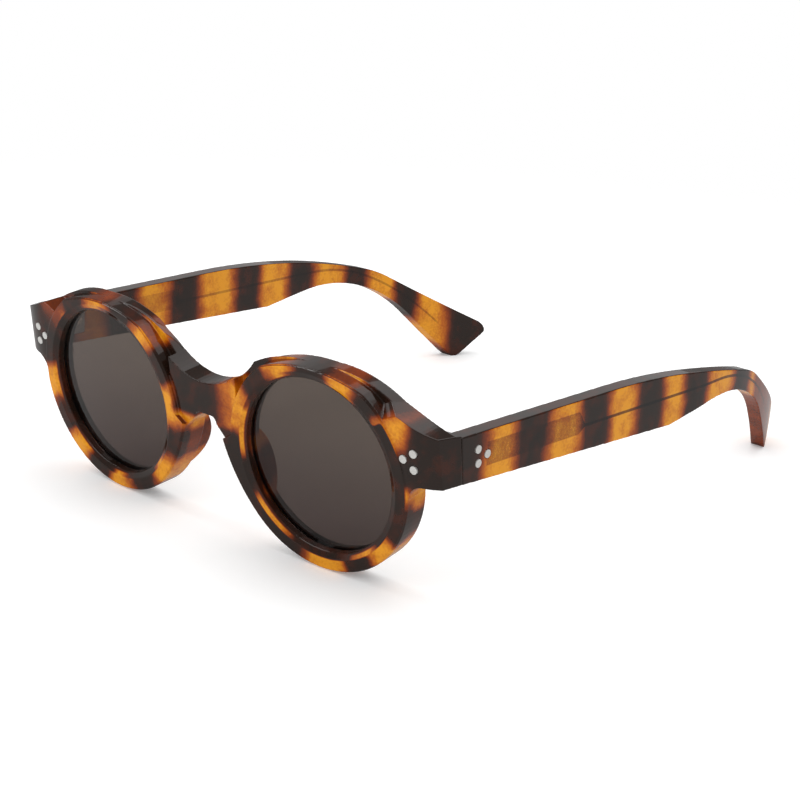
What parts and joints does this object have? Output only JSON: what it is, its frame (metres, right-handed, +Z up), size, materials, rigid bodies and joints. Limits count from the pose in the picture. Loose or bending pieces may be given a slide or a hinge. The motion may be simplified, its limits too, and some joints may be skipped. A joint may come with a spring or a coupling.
{
  "type": "round sunglasses",
  "caption": "Round tortoiseshell sunglasses with dark lenses, a saddle bridge, riveted end pieces and folding temples.",
  "frame": {"origin": "on the table under the middle of the open sunglasses: X and Y at the middle of the bounding box, Z at its bottom", "axes": "+Z up from the table, the front faces -Y, the temples run back to +Y, the wearer's left is +X"},
  "size_m": [0.136, 0.167, 0.0475],
  "materials": {
    "tortoiseshell": "polished amber with soft dark brown bands",
    "tinted_lens": "dark grey tint, slightly see-through",
    "hinge_metal": "satin",
    "rivet_metal": "bright, flush with the plastic",
    "wire_metal": "dull, sealed in the temple"
  },
  "bodies": {
    "front": {"front_frame": "tortoiseshell", "lens_left": "tinted_lens", "lens_right": "tinted_lens", "nose_pad_left": "tortoiseshell", "nose_pad_right": "tortoiseshell", "front_hinge_left": "hinge_metal", "front_hinge_right": "hinge_metal", "hinge_screw_left": "hinge_metal", "hinge_screw_right": "hinge_metal", "front_rivets_left": "rivet_metal", "front_rivets_right": "rivet_metal"},
    "temple_left_body": {"temple_left": "tortoiseshell", "temple_hinge_left": "hinge_metal", "temple_rivets_left": "rivet_metal", "core_wire_left": "wire_metal"},
    "temple_right_body": {"temple_right": "tortoiseshell", "temple_hinge_right": "hinge_metal", "temple_rivets_right": "rivet_metal", "core_wire_right": "wire_metal"}
  },
  "joints": [
    {"name": "temple_left_fold", "type": "hinge", "parent": "front", "child": "temple_left_body", "pos_m": [0.0596, -0.06974, 0.03266], "axis": [0, 0, 1], "range_deg": [0, 90.9]},
    {"name": "temple_right_fold", "type": "hinge", "parent": "front", "child": "temple_right_body", "pos_m": [-0.0596, -0.06974, 0.03266], "axis": [0, 0, -1], "range_deg": [0, 64]}
  ]
}
